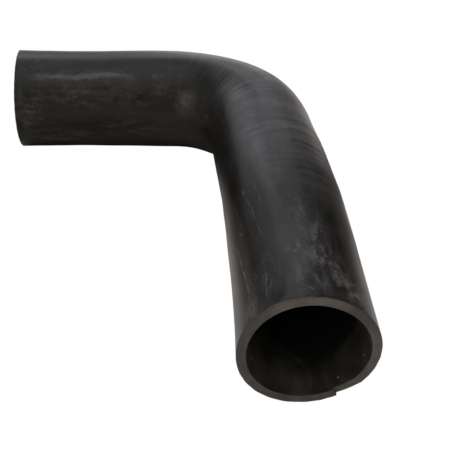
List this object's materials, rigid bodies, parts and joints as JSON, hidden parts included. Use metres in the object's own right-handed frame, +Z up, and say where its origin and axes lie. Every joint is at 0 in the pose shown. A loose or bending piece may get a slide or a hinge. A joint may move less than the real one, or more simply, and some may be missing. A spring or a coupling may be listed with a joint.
{
  "type": "air intake hose",
  "caption": "Moulded black rubber elbow hose with plain cut ends, pushed over round spigots and clamped to carry filtered air to an engine.",
  "frame": {"origin": "middle of the bounding box's underside, on the floor that the hose lies on", "axes": "+Z up; the centre line lies flat; the long leg's mouth faces -Y and the short leg's mouth faces -X"},
  "size_m": [0.2988, 0.3906, 0.0931],
  "materials": {
    "intake_hose": "matt black, dusty and rubbed"
  },
  "bodies": {
    "root": {"intake_hose": "intake_hose"}
  },
  "joints": []
}
